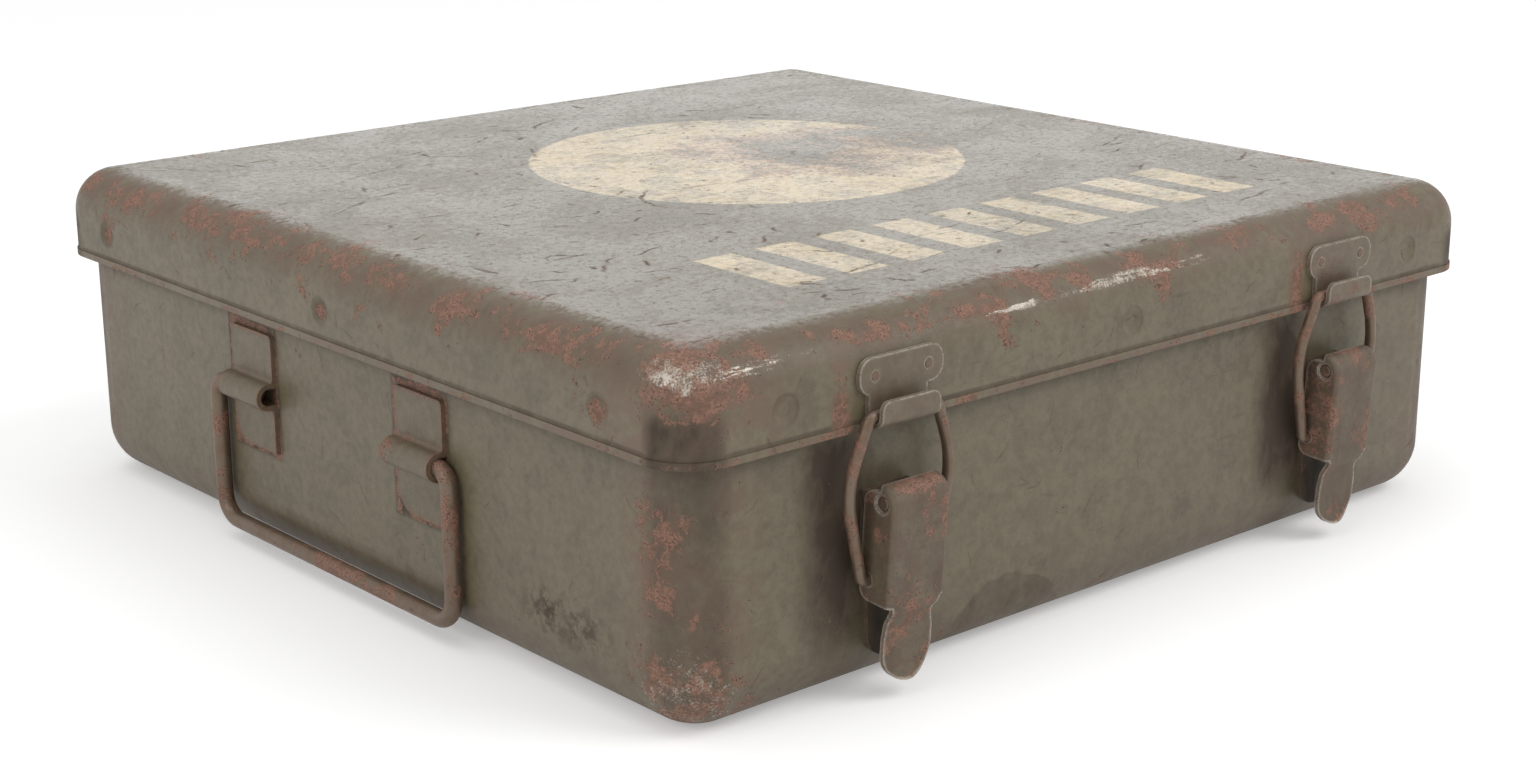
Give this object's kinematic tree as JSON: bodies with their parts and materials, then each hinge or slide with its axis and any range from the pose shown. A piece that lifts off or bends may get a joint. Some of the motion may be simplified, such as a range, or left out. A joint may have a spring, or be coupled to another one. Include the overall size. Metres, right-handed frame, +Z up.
{
  "type": "first aid box",
  "caption": "Shallow pressed-steel first aid box with an overlapping hinged lid, front draw latches with wire bails and a wire carrying handle on its left side.",
  "frame": {"origin": "on the floor, under the middle of the case body, in the flat face the box rests on", "axes": "+Z up, -Y towards the front with the latches, +Y towards the hinges, -X towards the side with the handle"},
  "size_m": [0.244, 0.2523, 0.0758],
  "materials": {
    "painted_steel": "worn matt olive drab paint over steel sheet",
    "rusty_painted_steel": "mostly rusted olive drab paint",
    "steel_wire": "rusted drawn wire",
    "steel_pins": "dull steel",
    "seal_rubber": "matt black rubber"
  },
  "bodies": {
    "case": {"case_body": "painted_steel", "latch_base_left": "painted_steel", "latch_base_right": "painted_steel", "latch_pin_left": "steel_pins", "latch_pin_right": "steel_pins", "handle_strap_rear": "rusty_painted_steel", "handle_strap_front": "rusty_painted_steel", "hinge_body_leaf_left": "painted_steel", "hinge_body_leaf_right": "painted_steel", "hinge_pin_left": "steel_pins", "hinge_pin_right": "steel_pins"},
    "lid": {"lid_shell": "painted_steel", "lid_seal": "seal_rubber", "latch_keeper_left": "painted_steel", "latch_keeper_right": "painted_steel", "keeper_rivets_left": "steel_pins", "keeper_rivets_right": "steel_pins", "hinge_lid_leaf_left": "painted_steel", "hinge_lid_leaf_right": "painted_steel"},
    "lever_left": {"latch_lever_left": "rusty_painted_steel"},
    "lever_right": {"latch_lever_right": "rusty_painted_steel"},
    "bail_left": {"latch_bail_left": "steel_wire"},
    "bail_right": {"latch_bail_right": "steel_wire"},
    "handle": {"handle_wire": "steel_wire"}
  },
  "joints": [
    {"name": "lid_hinge", "type": "hinge", "parent": "case", "child": "lid", "pos_m": [0, 0.1223, 0.0522], "axis": [-1, 0, 0], "range_deg": [0, 110]},
    {"name": "left_lever_turn", "type": "hinge", "parent": "case", "child": "lever_left", "pos_m": [-0.0682, -0.12415, 0.0411], "axis": [-1, 0, 0], "range_deg": [0, 110]},
    {"name": "left_bail_turn", "type": "hinge", "parent": "lever_left", "child": "bail_left", "pos_m": [-0.0682, -0.12032, 0.02503], "axis": [-1, 0, 0], "range_deg": [-286, 0]},
    {"name": "right_lever_turn", "type": "hinge", "parent": "case", "child": "lever_right", "pos_m": [0.0682, -0.12415, 0.0411], "axis": [-1, 0, 0], "range_deg": [0, 110]},
    {"name": "right_bail_turn", "type": "hinge", "parent": "lever_right", "child": "bail_right", "pos_m": [0.0682, -0.12032, 0.02503], "axis": [-1, 0, 0], "range_deg": [-286, 0]},
    {"name": "handle_swing", "type": "hinge", "parent": "case", "child": "handle", "pos_m": [-0.12005, 0, 0.0378], "axis": [0, 1, 0], "range_deg": [0, 165]}
  ],
  "couplings": [
    {"joint": "left_bail_turn", "follows": "left_lever_turn", "ratio": -2.6},
    {"joint": "right_bail_turn", "follows": "right_lever_turn", "ratio": -2.6}
  ]
}
